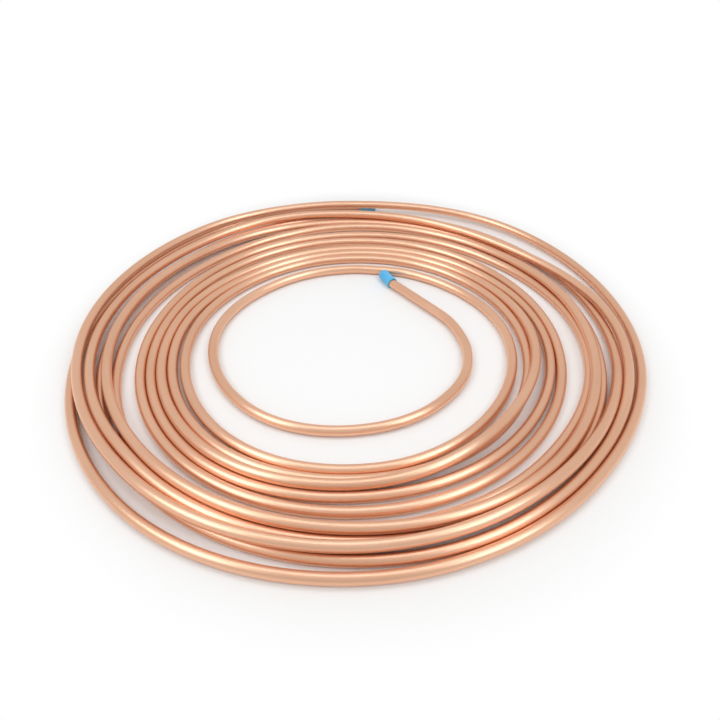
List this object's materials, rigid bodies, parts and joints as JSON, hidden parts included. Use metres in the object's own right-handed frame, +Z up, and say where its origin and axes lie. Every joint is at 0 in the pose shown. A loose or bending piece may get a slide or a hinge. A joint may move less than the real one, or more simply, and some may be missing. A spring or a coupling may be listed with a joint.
{
  "type": "copper tube coil",
  "caption": "Loose flat coil of soft copper tube, its turns touching and crossing in places, with a blue slip-on plastic cap on each end.",
  "frame": {"origin": "on the floor plane, under the middle of the coil's box", "axes": "+Z up out of the coil's flat side; +X across the coil, +Y away from the viewer of the lying coil"},
  "size_m": [0.5574, 0.5291, 0.0191],
  "materials": {
    "copper": "satin drawn copper",
    "cap_plastic": "soft matte vinyl"
  },
  "bodies": {
    "root": {"copper_tube": "copper", "inner_end_cap": "cap_plastic", "outer_end_cap": "cap_plastic"}
  },
  "joints": []
}
